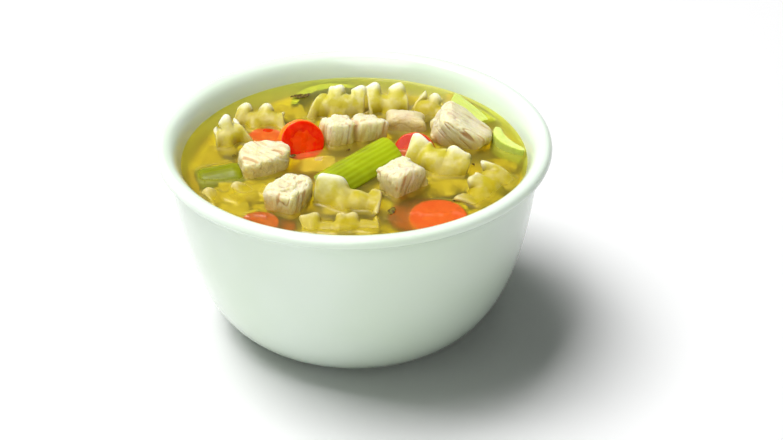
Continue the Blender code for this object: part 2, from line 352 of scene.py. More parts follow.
class Graph:
    """A node tree with short calls that add a node, feed its inputs and give its output socket."""

    def __init__(self, tree: bpy.types.NodeTree) -> None:
        """Keeps the tree."""
        self.tree = tree

    def add(self, kind: str, **settings: object) -> Node:
        """A new node with these properties set."""
        node = self.tree.nodes.new(kind)
        for key, value in settings.items():
            setattr(node, key, value)
        return node

    def feed(self, socket: Socket, value: object) -> None:
        """Links an output socket to an input, or sets the input's own value."""
        if isinstance(value, Socket):
            self.tree.links.new(value, socket)
        else:
            socket.default_value = value

    def feed_all(self, node: Node, **inputs: object) -> None:
        """Feeds a node's inputs by name. An underscore stands for a space."""
        for key, value in inputs.items():
            self.feed(node.inputs[key.replace("_", " ")], value)

    def math(self, operation: str, first: object, second: object, clamp: bool = False) -> Socket:
        """A Math node's result."""
        node = self.add("ShaderNodeMath", operation=operation, use_clamp=clamp)
        self.feed(node.inputs[0], first)
        self.feed(node.inputs[1], second)
        return node.outputs[0]

    def mix(self, factor: object, *ends: object) -> Socket:
        """A mix of two colours, each a socket or display values of 0 to 255."""
        node = self.add("ShaderNodeMix", data_type="RGBA")
        self.feed(node.inputs[0], factor)
        for socket, end in zip(node.inputs[6:8], ends):
            self.feed(socket, end if isinstance(end, Socket) else colour(end))
        return node.outputs[2]

    def spread(
        self, value: object, low: float, high: float, new_low: float = 0.0, new_high: float = 1.0
    ) -> Socket:
        """Maps low to new_low and high to new_high with a smooth step, and holds the ends past them."""
        node = self.add("ShaderNodeMapRange", interpolation_type="SMOOTHSTEP")
        self.feed(node.inputs[0], value)
        for socket, number in zip(node.inputs[1:5], (low, high, new_low, new_high)):
            socket.default_value = number
        return node.outputs[0]

    def noise(self, scale: object, detail: float = 2.0, distortion: float = 0.0) -> Socket:
        """A noise texture's value on the piece, from 0 to 1 and mostly near 0.5."""
        node = self.add("ShaderNodeTexNoise")
        self.feed_all(node, Vector=self.place(), Scale=scale, Detail=detail, Distortion=distortion)
        return node.outputs["Fac"]

    def soaked_and_shaded(self, base: Socket, soak_and_shade: Triple, reach: float, unevenness: float, share: float) -> Socket:
        """A colour mixed up to this share with a darker amber one near the broth, as far as the broth group's
        mask says: partly soaked-in broth, partly painted shade.
        """
        soak_and_shade_mask = self.group("Broth soak and shade", Reach=reach, Unevenness=unevenness).outputs[0]
        return self.mix(self.math("MULTIPLY", soak_and_shade_mask, share), base, soak_and_shade)

    def place(self) -> Socket:
        """Where a point is on the piece, in metres."""
        return self.add("ShaderNodeTexCoord").outputs["Object"]

    def value(self, name: str) -> Socket:
        """A point attribute of the mesh."""
        return self.add("ShaderNodeAttribute", attribute_name=name).outputs["Fac"]

    def bump(self, height: Socket, strength: float, distance: float) -> Socket:
        """A normal from a height in millimetres."""
        node = self.add("ShaderNodeBump")
        self.feed_all(node, Strength=strength, Distance=distance * MM, Height=height)
        return node.outputs[0]

    def group(self, name: str, **inputs: object) -> Node:
        """A node that holds a shared group, with its inputs fed by name."""
        node = self.add("ShaderNodeGroup", node_tree=bpy.data.node_groups[name])
        self.feed_all(node, **inputs)
        return node


def new_group(name: str, inputs: tuple[str, ...], outputs: tuple[str, ...]) -> tuple[Graph, Node, Node]:
    """An empty shader group, with a float socket for each name.

    Args:
        name: the group's name.
        inputs: what it is given.
        outputs: what it gives.

    Returns:
        The group's graph, its input node and its output node.
    """
    tree = bpy.data.node_groups.new(name, "ShaderNodeTree")
    for way, keys in (("INPUT", inputs), ("OUTPUT", outputs)):
        for key in keys:
            tree.interface.new_socket(key, in_out=way, socket_type="NodeSocketFloat")
    graph = Graph(tree)
    return graph, graph.add("NodeGroupInput"), graph.add("NodeGroupOutput")


def build_shared_groups() -> None:
    """Builds the shader groups that several foods use.

    The first group gives how far a piece takes a darker amber colour near the broth: 1 at the broth's
    level, falling to 0 at a reach above it, with an edge made uneven by noise. That colour is partly broth
    soaked in and partly painted shade. "Wet grain" gives a fine height, and a roughness that
    wanders between two values as a wet film does.
    """
    # Mask for darker amber near the broth: partly soaked-in broth, partly painted shade.
    graph, given, wanted = new_group("Broth soak and shade", ("Reach", "Unevenness"), ("Mask",))
    height = graph.add("ShaderNodeSeparateXYZ")
    graph.feed(height.inputs[0], graph.place())
    above = graph.math("SUBTRACT", height.outputs[2], BROTH_LEVEL * MM)
    wander = graph.math("SUBTRACT", graph.noise(260.0), 0.5)
    above = graph.math("ADD", above, graph.math("MULTIPLY", wander, given.outputs["Unevenness"]))
    share = graph.math("DIVIDE", above, given.outputs["Reach"])
    graph.feed_all(wanted, Mask=graph.spread(share, 0.0, 1.0, 1.0, 0.0))

    graph, given, wanted = new_group("Wet grain", ("Size", "Dry", "Wet"), ("Height", "Roughness"))
    fine = graph.noise(graph.math("DIVIDE", 1.0, given.outputs["Size"]), 3.0)
    between = graph.add("ShaderNodeMix", data_type="FLOAT")
    graph.feed(between.inputs[0], graph.spread(graph.noise(320.0, 1.0), 0.35, 0.65))
    graph.feed(between.inputs[2], given.outputs["Wet"])
    graph.feed(between.inputs[3], given.outputs["Dry"])
    graph.feed_all(wanted, Height=fine, Roughness=between.outputs[0])


def new_material(name: str) -> tuple[Material, Graph, Node]:
    """A material, its graph and its Principled shader."""
    finish = bpy.data.materials.new(name)
    finish.use_nodes = True
    return finish, Graph(finish.node_tree), finish.node_tree.nodes["Principled BSDF"]


# Finishes. Each colour is red, green and blue display values.


@dataclass(frozen=True)
class GlazeFinish:
    """Smooth white glaze with a faint green cast and a trace of waviness."""

    body: Triple = (222, 235, 221)
    shade: Triple = (216, 231, 212)
    polish: Pair = (0.16, 0.21)

    def build(self) -> Material:
        """The material."""
        finish, graph, shader = new_material("white glaze")
        cast = graph.spread(graph.noise(18.0), 0.35, 0.65)
        graph.feed_all(
            shader, Base_Color=graph.mix(cast, self.body, self.shade),
            Roughness=graph.spread(graph.noise(900.0), 0.3, 0.7, *self.polish),
            Normal=graph.bump(graph.noise(60.0, 1.0), 0.25, 0.12),
            IOR=1.5, Coat_Weight=0.3, Coat_Roughness=0.08,
            Subsurface_Weight=0.3, Subsurface_Radius=(1.0, 1.0, 0.85), Subsurface_Scale=0.005,
        )
        return finish


@dataclass(frozen=True)
class BrothFinish:
    """Clear golden broth that takes out blue light first and then green."""

    surface: Triple = (206, 202, 84)
    lamp_light: Triple = (247, 243, 180)
    tint: Triple = (0.93, 0.895, 0.02)
    density: float = 90.0

    def build(self) -> Material:
        """The material. Rays from the lamps pass its surface straight, so that sunk food is lit."""
        finish, graph, shader = new_material("golden broth")
        graph.feed_all(
            shader, Base_Color=colour(self.surface), Roughness=0.38, IOR=1.33, Transmission_Weight=0.9,
            Specular_IOR_Level=0.3, Coat_Weight=0.5, Coat_Roughness=0.03, Coat_IOR=1.33,
        )
        clear = graph.add("ShaderNodeBsdfTransparent")
        graph.feed_all(clear, Color=colour(self.lamp_light))
        both = graph.add("ShaderNodeMixShader")
        graph.feed(both.inputs[0], graph.add("ShaderNodeLightPath").outputs["Is Shadow Ray"])
        graph.feed(both.inputs[1], shader.outputs[0])
        graph.feed(both.inputs[2], clear.outputs[0])
        depth = graph.add("ShaderNodeVolumeAbsorption")
        graph.feed_all(depth, Color=(*self.tint, 1.0), Density=self.density)
        output = finish.node_tree.nodes["Material Output"]
        graph.feed_all(output, Surface=both.outputs[0], Volume=depth.outputs[0])
        return finish


@dataclass(frozen=True)
class SpeckledFinish:
    """A plain finish whose colour wanders between two with noise.

    scale and distortion are the noise's, and band its values over which the colours cross.
    """

    title: str
    first: Triple
    second: Triple
    scale: float
    band: Pair
    roughness: float
    specular: float = 0.5
    distortion: float = 0.0

    def build(self) -> Material:
        """The material."""
        finish, graph, shader = new_material(self.title)
        drift = graph.spread(graph.noise(self.scale, 3.0, self.distortion), *self.band)
        graph.feed_all(
            shader, Base_Color=graph.mix(drift, self.first, self.second), Roughness=self.roughness,
            Specular_IOR_Level=self.specular,
        )
        return finish


BROTH_HAZE = SpeckledFinish(
    "broth haze", (236, 224, 104), (206, 178, 44), 70.0, (0.35, 0.65), 0.9, distortion=0.6
)
HERB_LEAF = SpeckledFinish("herb leaf", (112, 100, 22), (70, 44, 10), 900.0, (0.4, 0.6), 0.6, 0.2)


@dataclass(frozen=True)
class Wetness:
    """How a cooked food's moist surface shines, and how far light goes into it.

    grain is the size of its fine lumps in metres, dry and wet are the roughness off and on its wet patches,
    and relief is a bump's strength and its height in millimetres. bleed, bleed_colour and depth are the
    weight, the colour and the distance in metres of the light that spreads inside. film is the thin clear
    coat's weight and roughness.
    """

    grain: float
    dry: float
    wet: float
    relief: Pair
    bleed: float
    bleed_colour: Triple
    depth: float
    film: Pair
    specular: float = 0.3

    def feed(self, graph: Graph, shader: Node) -> None:
        """Feeds everything but the shader's colour."""
        wet = graph.group("Wet grain", Size=self.grain, Dry=self.dry, Wet=self.wet)
        graph.feed_all(
            shader, Roughness=wet.outputs["Roughness"], IOR=1.4, Specular_IOR_Level=self.specular,
            Normal=graph.bump(wet.outputs["Height"], *self.relief),
            Coat_Weight=self.film[0], Coat_Roughness=self.film[1],
            Subsurface_Weight=self.bleed, Subsurface_Radius=self.bleed_colour, Subsurface_Scale=self.depth,
        )


class FoodFinish:
    """What the finishes of all cooked foods share: a colour that each works out, over one wet surface."""

    title: str
    surface: Wetness

    def base(self, graph: Graph) -> Socket:
        """The colour."""
        raise NotImplementedError

    def build(self) -> Material:
        """The material."""
        finish, graph, shader = new_material(self.title)
        graph.feed_all(shader, Base_Color=self.base(graph))
        self.surface.feed(graph, shader)
        return finish


@dataclass(frozen=True)
class PastaFinish(FoodFinish):
    """Cooked egg pasta: translucent yellow body, a painted highlight on the swollen rims and crests, and
    darker amber near the broth, partly soaked-in broth and partly painted shade.
    """

    body: Triple = (196, 188, 60)
    # Painted highlight colour for the rims and crests.
    rim: Triple = (236, 236, 208)
    # Darker amber near the broth: partly soaked-in broth, partly painted shade.
    soak_and_shade: Triple = (168, 146, 0)
    title: str = "egg pasta"
    surface: Wetness = Wetness(0.0011, 0.55, 0.36, (0.35, 0.25), 0.8, (1.0, 0.98, 0.35), 0.003, (0.08, 0.16))

    def base(self, graph: Graph) -> Socket:
        """The body, mixed with the painted highlight colour on rims and crests and a little in random cloudy
        patches, and darker amber low down, partly soaked-in broth and partly painted shade.
        """
        # Painted highlight on rims and crests.
        base = graph.mix(graph.spread(graph.value("rim"), 0.1, 0.9), self.body, self.rim)
        base = graph.mix(graph.spread(graph.noise(240.0, 3.0), 0.4, 0.66, 0.0, 0.35), base, self.rim)
        # Darker amber towards the broth: partly soaked-in broth, partly painted shade.
        return graph.soaked_and_shaded(base, self.soak_and_shade, 0.0095, 0.004, 0.85)


@dataclass(frozen=True)
class ChickenFinish(FoodFinish):
    """Cooked chicken breast: cream fibres, darker beige in the grooves between them that is partly the meat's
    own colour and partly painted shade, and darker amber near the broth, partly soaked-in broth and partly
    painted shade.
    """

    meat: Triple = (222, 216, 176)
    # Darker in the grooves: partly the meat's own colour, partly painted shade.
    groove_tint_and_shade: Triple = (196, 162, 116)
    blush: Triple = (230, 212, 190)
    # Darker amber near the broth: partly soaked-in broth, partly painted shade.
    soak_and_shade: Triple = (208, 182, 64)
    # Duller colour for the tone: partly broth taken up, and on sunk pieces painted shade.
    broth_shade: Triple = (164, 140, 104)
    title: str = "cooked chicken"
    surface: Wetness = Wetness(0.0006, 0.55, 0.32, (0.8, 0.4), 0.9, (1.0, 0.96, 0.5), 0.005, (0.1, 0.2))

    def base(self, graph: Graph) -> Socket:
        """Meat with the darker groove colour, a pinkish blush in patches, darker amber low down, and a duller
        colour as far as the tone says: broth taken up, and on sunk pieces painted shade for their dimness
        under the broth.
        """
        # Groove colour: partly the meat's own colour, partly painted shade in the grooves.
        base = graph.mix(graph.spread(graph.value("groove_tint_and_shade"), 0.15, 0.85), self.meat, self.groove_tint_and_shade)
        base = graph.mix(graph.spread(graph.noise(130.0), 0.48, 0.7, 0.0, 0.4), base, self.blush)
        # Darker amber towards the broth: partly soaked-in broth, partly painted shade.
        base = graph.soaked_and_shaded(base, self.soak_and_shade, 0.0085, 0.007, 0.7)
        # Tone: partly broth taken up, and on sunk pieces painted shade.
        return graph.mix(graph.math("MULTIPLY", graph.value("tone"), 0.85), base, self.broth_shade)


@dataclass(frozen=True)
class CarrotFinish(FoodFinish):
    """Cooked carrot: red-orange flesh with a paler skin side and a star-shaped core."""

    flesh: Triple = (244, 34, 0)
    core: Triple = (250, 66, 0)
    skin: Triple = (250, 132, 30)
    mottle: Triple = (250, 90, 4)
    # Painted shade: darker colour for the broth's dimming over the slice.
    broth_shade: Triple = (150, 52, 0)
    title: str = "cooked carrot"
    surface: Wetness = Wetness(0.0007, 0.42, 0.16, (0.4, 0.22), 0.3, (1.0, 0.25, 0.05), 0.002, (0.12, 0.08))

    def base(self, graph: Graph) -> Socket:
        """Flesh, core and skin with a fine mottle, darkened as painted shade for the broth over it as far as
        the tone says.
        """
        base = graph.mix(graph.spread(graph.value("core"), 0.3, 0.7), self.flesh, self.core)
        base = graph.mix(graph.spread(graph.value("side"), 0.2, 0.9), base, self.skin)
        base = graph.mix(graph.spread(graph.noise(700.0, 3.0), 0.4, 0.65, 0.0, 0.25), base, self.mottle)
        # Painted shade for the broth over the slice, as far as the tone says.
        return graph.mix(graph.value("tone"), base, self.broth_shade)


@dataclass(frozen=True)
class CeleryFinish(FoodFinish):
    """Cooked celery: bright translucent skin with fine lengthwise ribs, and pale cut faces."""

    skin: Triple = (152, 166, 6)
    deep: Triple = (122, 130, 0)
    rib: Triple = (196, 220, 60)
    cut: Triple = (206, 218, 120)
    pith: Triple = (168, 198, 60)
    # Painted shade: darker green for the broth's dimming over the piece.
    broth_shade: Triple = (112, 112, 0)
    title: str = "cooked celery"
    surface: Wetness = Wetness(
        0.0016, 0.46, 0.34, (0.3, 0.2), 0.6, (0.8, 1.0, 0.15), 0.003, (0.06, 0.18), specular=0.25
    )

    def base(self, graph: Graph) -> Socket:
        """Skin in two greens under pale ribs, flecked cut faces, and a tone that above 0 darkens it all as
        painted shade for the broth over it and below 0 pales it all.
        """
        base = graph.mix(graph.spread(graph.noise(60.0), 0.38, 0.64), self.skin, self.deep)
        base = graph.mix(graph.math("MULTIPLY", graph.value("rib"), 0.15), base, self.rib)
        pale = graph.mix(graph.spread(graph.noise(520.0, 3.0), 0.42, 0.66, 0.0, 0.6), self.cut, self.pith)
        base = graph.mix(graph.spread(graph.value("cut"), 0.3, 0.8), base, pale)
        tone = graph.value("tone")
        # Painted shade for the broth over the piece where the tone is above 0.
        base = graph.mix(graph.math("MAXIMUM", tone, 0.0), base, self.broth_shade)
        return graph.mix(graph.math("MULTIPLY", tone, -1.0, clamp=True), base, self.cut)


# The bowl


def curve(corners: tuple[Pair, ...], samples: int) -> Array:
    """Points of a cubic Bezier curve at even steps of its share t.

    Args:
        corners: its start, two handles and end, as (radius, height).
        samples: how many points.

    Returns:
        (samples, 2) points: (1-t)^3 start + 3(1-t)^2 t first + 3(1-t) t^2 second + t^3 end.
    """
    share = np.linspace(0, 1, samples)[:, None]
    rest = 1 - share
    weights = (rest**3, 3 * rest**2 * share, 3 * rest * share**2, share**3)
    return sum(weight * np.array(corner, float) for weight, corner in zip(weights, corners))


@dataclass
class Bowl:
    """The white bowl: floor, inner wall, rolled lip, outer wall and foot ring."""

    finish: Material
    node: str = "bowl"
    lip: float = 2.6
    base_radius: float = 38.0
    foot_width: float = 4.5
    foot_height: float = 1.2
    wall_top: Pair = (70.4, 70.0)
    steps: int = 224

    def profile(self) -> Array:
        """The turned outline from the middle of the floor inside, over the lip, to the middle underneath.

        The inner and outer walls are Bezier curves. The lip is an arc of its rounding from its top round to
        its outermost line and on under it, and two short curves take it into the walls.
        """
        low, high = (np.array(corner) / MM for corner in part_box(self.node))
        middle = np.array([(high[0] - low[0]) / 2 - self.lip, high[2] - self.lip])
        floor_radius, floor_height = INNER_WALL[0]
        flat = [(radius, floor_height) for radius in np.linspace(0.0, floor_radius, 8)[:-1]]
        inner = curve(INNER_WALL, 36)
        lip_start = middle + (-0.9, self.lip * 0.965)
        shoulder = curve((INNER_WALL[3], (66.5, 70.2), (67.6, 75.0), lip_start), 12)
        angle = np.radians(np.linspace(100, -25, 22))
        arc = middle + self.lip * np.stack([np.cos(angle), np.sin(angle)], axis=1)
        under = curve((arc[-1], arc[-1] + (-0.5, -1.0), (71.2, 71.4), self.wall_top), 8)
        outer = curve((self.wall_top, (66.5, 23.0), (56.0, 0.35), (self.base_radius + 0.6, 0.25)), 44)
        inside = self.base_radius - self.foot_width
        foot = [
            (self.base_radius, 0.0), (inside + 0.3, 0.0), (inside, 0.1),
            (inside - self.foot_height, self.foot_height), (0.0, self.foot_height),
        ]
        return np.concatenate([flat, inner, shoulder[1:-1], arc, under[1:], outer[1:], foot])

    def build(self) -> None:
        """Makes the piece."""
        shell = wheel(turned_profile(self.profile(), self.steps))
        make_piece("soup_bowl", shell, self.finish, (self.node,), sharp=40.0)


# The food


def stations(length: float, corner: float, face: float, steps: int) -> tuple[Array, Array]:
    """Where the grid lines of a thick sheet run along one direction, and how thick it is at each.

    From either edge inwards the lines climb the flat edge face and then a quarter round. Between the two
    quarter rounds they are even.

    Args:
        length: the sheet's size in this direction, in millimetres.
        corner: the radius of the quarter round.
        face: the share of the half thickness that the edge face takes.
        steps: the number of even steps.

    Returns:
        The lines' shares of the length, from -0.5 to 0.5, and the share of the half thickness at each.
    """
    angle = np.linspace(0, math.pi / 2, 6)
    flat = np.linspace(0, face, 4)[:-1] if face else np.zeros(0)
    climb = np.concatenate([flat, face + (1 - face) * np.sin(angle)])
    inset = np.concatenate([0 * flat, corner * (1 - np.cos(angle))])
    middle = np.linspace(inset[-1], length - inset[-1], steps + 1)[1:-1]
    where = np.concatenate([inset, middle, length - inset[::-1]])
    return where / length - 0.5, np.concatenate([climb, np.ones(steps - 1), climb[::-1]])


@dataclass(frozen=True)
class Noodle:
    """A short flat strip of egg pasta with both long edges ruffled.

    bend is the angle that the strip turns along its length, cup the rise of its edges over its middle,
    twist the angle between its ends, and phases say where the ruffles start on the +Y and -Y edges.
    slants say how far the +Y edge lies towards +X of the -Y edge, at the -X end and at the +X end.
    fine is the height of a shorter ruffle and of noise with the step grain, and fine_waves how many of it
    go into one long ruffle. meander is how far the ruffles sway lengthwise, swelling the share by which the
    edge is thicker, and swelling_reach how far in that fades. cuts are the grid's steps along and across.
    """

    place: Place
    length: float
    width: float
    bend: float = 0.0
    cup: float = -2.0
    twist: float = 0.0
    ruffle: float = 2.4
    waves: float = 2.2
    phases: Pair = (0.0, 150.0)
    slants: Pair = (0.0, 0.0)
    half_thickness: float = 0.9
    fine: float = 0.7
    fine_waves: float = 3.1
    grain: Pair = (3.4, 5.0)
    meander: float = 1.1
    swelling: float = 0.3
    swelling_reach: float = 1.3
    seed: int = 0
    cuts: tuple[int, int] = (150, 56)

    def phase(self, along: Array, across: Array) -> Array:
        """The ruffles' phase, which runs with the length and starts elsewhere on each edge."""
        return 2 * math.pi * self.waves * along + np.where(across > 0, *np.radians(self.phases))

    def middle(self, along: Array, across: Array) -> Array:
        """The strip's middle surface for shares of its length and width from -0.5 to 0.5.

        The centreline is an arc and the section a parabola that rises by the cup. On that section's own
        normal a sine wave grows with the square of the way to the edge, and a shorter one, whose height
        wanders, rides on it.

        Args:
            along: shares of the length.
            across: shares of the width, of the same shape.

        Returns:
            Points, with x, y, z on a new last axis.
        """
        share = 2 * across
        phase = self.phase(along, across)
        run_grain, side_grain = self.grain
        flat = [along * self.length / run_grain, across * self.width / side_grain, 0 * along]
        flat = np.stack(flat, axis=-1)
        wander = value_noise(flat + 7.3 * self.seed, self.seed)
        short = np.sin(self.fine_waves * phase + self.seed)
        wave = self.ruffle * share**2 * np.sin(phase)
        wave = wave + self.fine * (wander + short * np.abs(share) ** 3)
        slope = np.hypot(-2 * self.cup * share, self.width / 2)
        side = across * self.width + wave * (-2 * self.cup * share) / slope
        height = self.cup * share**2 + wave * (self.width / 2) / slope
        turn = math.radians(self.twist) * along
        side, height = (
            side * np.cos(turn) - height * np.sin(turn),
            side * np.sin(turn) + height * np.cos(turn),
        )
        lean = self.slants[0] * (0.5 - along) + self.slants[1] * (0.5 + along)
        run = along * self.length + lean * (0.5 + across) - self.meander * share**2 * np.sin(2 * phase)
        arc = math.radians(self.bend) * along + 1e-9
        x = run * np.sin(arc) / arc + height * np.sin(arc)
        z = height * np.cos(arc) - run * (1 - np.cos(arc)) / arc
        return np.stack([x, side, z], axis=-1)

    def shell(self) -> Shell:
        """The strip as two grids half a thickness to either side of its middle surface.

        The value that marks the rims is a painted highlight: 1 at the outline, falling with the distance from
        it, and higher on a crest than in a hollow.
        """
        along, end_height = stations(self.length, self.half_thickness, 0.0, self.cuts[0])
        across, side_height = stations(self.width, self.half_thickness, 0.0, self.cuts[1])
        along, across = np.meshgrid(along, across, indexing="ij")
        centre = self.middle(along, across)
        normal = unit(np.cross(np.gradient(centre, axis=0), np.gradient(centre, axis=1)))
        from_end = (0.5 - np.abs(along)) * self.length
        from_side = (0.5 - np.abs(across)) * self.width
        # Painted highlight along the outline, fading inwards.
        rim = np.exp(-np.minimum(from_end * 1.6, from_side))
        crest = np.sin(self.phase(along, across)) * (2 * across) ** 2
        swelling = 1 + self.swelling * np.exp(-np.minimum(from_end, from_side) / self.swelling_reach)
        half = (self.half_thickness * swelling * end_height[:, None] * side_height)[..., None] * normal
        # Painted highlight, more on the upper side's crests and the lower side's bulges than in the hollows.
        rims = (np.clip(rim + 0.5 * crest, 0, 1), np.clip(rim - 0.5 * crest, 0, 1))
        return pillow(self.place.put(centre + half), self.place.put(centre - half), rim=rims)


@dataclass(frozen=True)
class Chunk:
    """A diced piece of chicken: a rounded block of fibre bundles whose eight corners stray from the square.

    fibre is the way that the bundles run, and spacing how far apart they lie. groove is the depth of the
    gaps between them, and ragged how unevenly the bundles end. notches are (way, offset, width, depth):
    a cleft across that way, that far from the middle. tone is how far the whole piece takes a duller colour:
    partly broth taken up, and on sunk pieces painted shade for their dimness under the broth.
    crack is how close to 0 the noise makes a groove, and lump and grain are heights of broad and fine relief.
    """

    place: Place
    size: Triple
    seed: int
    stray: float = 0.22
    boxiness: float = 6.0
    fibre: Triple = (0.0, 0.0, 1.0)
    spacing: float = 3.2
    groove: float = 0.6
    ragged: float = 0.5
    notches: tuple = ()
    tone: float = 0.0
    crack: float = 0.17
    lump: float = 0.5
    grain: float = 0.08
    cuts: int = 64

    def block(self, cube: Array) -> Array:
        """The smooth block, in its own frame.

        A power mean rounds the cube. Each of its corners strays by a seeded amount, shared out by trilinear
        weights, and two crossed sine waves add low lumps.

        Args:
            cube: (n, 3) points of the cube from -1 to 1.

        Returns:
            (n, 3) points in millimetres.
        """
        power = self.boxiness
        rounded = cube / (np.abs(cube) ** power).sum(1, keepdims=True) ** (1 / power)
        half = np.array(self.size) / 2
        strays = np.random.RandomState(self.seed).uniform(-1, 1, (2, 2, 2, 3)) * self.stray
        shift = np.zeros_like(rounded)
        for corner in np.ndindex(2, 2, 2):
            weight = np.prod((1 + (2 * np.array(corner) - 1) * rounded) / 2, axis=1)
            shift += weight[:, None] * strays[corner]
        across = np.sin(2.3 * rounded[:, 0] + self.seed)
        swell = across * np.sin(2.9 * rounded[:, 1] + 2 * self.seed + rounded[:, 2])
        return half * (rounded + shift) * (1 + 0.5 * swell[:, None] / half.min())

    def shell(self) -> Shell:
        """The block in place, with bundles, notches and fine grain.

        Noise drawn out along the fibre makes the grooves between bundles, the threads and the hairs on
        them. Long cells lift the surface unevenly where it cuts across the fibre, and there the grooves
        fade. Broad lumps and fine grain come on top. The groove colour value is 1 in a groove, and also high
        in a thread's trough and in a notch: partly the meat's own colour there and partly painted shade.
        """
        shell = cube_ball(self.cuts)
        shell.points = self.place.put(self.block(shell.points))
        normal = shell.normals()
        way = unit(np.array(self.fibre, float))
        side = unit(np.cross(way, (0.31, 0.9, 0.2)))
        place = shell.points @ np.stack([side, np.cross(way, side), way], axis=1)
        wander = np.stack([value_noise(place / 8.0, self.seed + k) for k in (50, 51, 52)], axis=1)
        warped = place + 0.8 * wander

        def drawn(width: float, length: float, extra: int) -> Array:
            """Noise of this width across the fibre and this length along it, in millimetres."""
            return value_noise(warped / (width, width, length), self.seed + extra)

        bundles = cell_values(warped / (self.spacing, self.spacing, 5 * self.spacing), self.seed)
        crack = np.exp(-((drawn(0.75 * self.spacing, 8 * self.spacing, 19) / self.crack) ** 2))
        crack = crack * smooth_step(-0.7, 0.3, drawn(5.0, 5.0, 9))
        thread = drawn(1.1, 10.0, 20)
        across = np.abs(normal @ way)
        crack *= 1 - 0.85 * across**2
        rise = self.ragged * bundles * across**2 - self.groove * crack
        rise += 0.35 * self.groove * (1 - 0.6 * across**2) * (0.8 * thread + 0.4 * drawn(0.6, 6.0, 21))
        rise += self.lump * (0.35 - np.abs(value_noise(shell.points / 5.0, self.seed + 60)))
        rise += self.grain * value_noise(shell.points / 0.8, self.seed + 61)
        # Darker colour mask for grooves, thread troughs and notches: partly the meat's own colour, partly
        # painted shade.
        groove_tint_and_shade = np.clip(0.8 * crack + 0.5 * smooth_step(0.1, 0.6, -thread), 0, 1)
        centre = np.array((self.place.x, self.place.y, self.place.z))
        for notch_way, offset, width, depth in self.notches:
            run = (shell.points - centre) @ unit(np.array(notch_way, float)) - offset
            run = run + 0.7 * value_noise(shell.points / 4.0, self.seed + 62)
            cleft = np.exp(-((run / width) ** 2))
            rise -= depth * cleft
            # The notch takes the darker colour too, partly as painted shade.
            groove_tint_and_shade = np.maximum(groove_tint_and_shade, 0.8 * cleft)
        shell.points = shell.points + normal * rise[:, None]
        # The groove colour fades as the tone rises; the tone is partly broth taken up and partly painted
        # shade.
        shell.values = {"groove_tint_and_shade": groove_tint_and_shade * (1 - self.tone), "tone": np.full(len(groove_tint_and_shade), self.tone)}
        return shell


@dataclass(frozen=True)
class Coin:
    """A round slice of carrot, a little out of round, with its cut edges just broken.

    core is the core's share of the radius, dip the depth of the line round it and rough the height of the
    cut faces' noise. tone is how far its colour is darkened as painted shade for the broth over it.
    """

    place: Place
    radius: float
    thickness: float
    oval: float = 0.03
    corner: float = 0.8
    core: float = 0.47
    dip: float = 0.05
    rough: float = 0.14
    steps: int = 200
    tone: float = 0.0
    seed: int = 0

    def shell(self) -> Shell:
        """The slice as rings about its axis.

        The face dips a little between core and flesh. The side wanders with noise. The value "core" is 1
        in the star-shaped core, and "side" is 1 on the skin side.
        """
        angle = np.linspace(0, 2 * math.pi, self.steps, endpoint=False)
        turn = np.linspace(0, math.pi / 2, 8)
        half = self.thickness / 2
        face = np.linspace(0, 1, 34)[:-1] * (self.radius - self.corner)
        radius = np.concatenate([face, self.radius - self.corner * (1 - np.sin(turn))])
        height = np.concatenate([0 * face, self.corner * (np.cos(turn) - 1)]) + half
        wall = np.linspace(height[-1], -height[-1], 12)[1:-1]
        bulge = 0.25 * (1 - (wall / half) ** 2)
        rows = np.concatenate([radius, self.radius + bulge, radius[::-1]])[:, None]
        level = np.concatenate([height, wall, -height[::-1]])[:, None]
        out_of_round = 1 + self.oval * np.sin(2 * angle + self.radius)
        out_of_round = out_of_round + 0.006 * np.sin(5 * angle + self.seed) + 0.004 * np.sin(9 * angle)
        share = rows / self.radius
        star = self.core + 0.045 * np.sin(7 * angle + self.seed) + 0.03 * np.sin(11 * angle + 2.0)
        core = 1 - smooth_step(0.0, 0.09, share - star)
        dip = self.dip * np.exp(-(((share - star - 0.04) / 0.06) ** 2)) * (share < 0.97)
        flat = np.stack([rows * np.cos(angle), rows * np.sin(angle), level + 0 * angle], axis=-1)
        rough = value_noise(flat / 1.9, self.seed + 5)
        lift = np.sign(level) * (np.abs(level) > half - 0.05) * (self.rough * rough - dip)
        wide = rows * out_of_round * (1 + 0.012 * rough * (share > 0.9))
        points = np.stack([wide * np.cos(angle), wide * np.sin(angle), level + lift], axis=-1)
        side = np.clip(1 - np.abs(level) / half + smooth_step(0.93, 1.0, share), 0, 1)
        side = np.broadcast_to(np.where(share > 0.9, side, 0), core.shape)
        # tone: the share of painted shade for the broth over the slice.
        return wheel(self.place.put(points), core=core, side=side, tone=np.full(core.shape, self.tone))


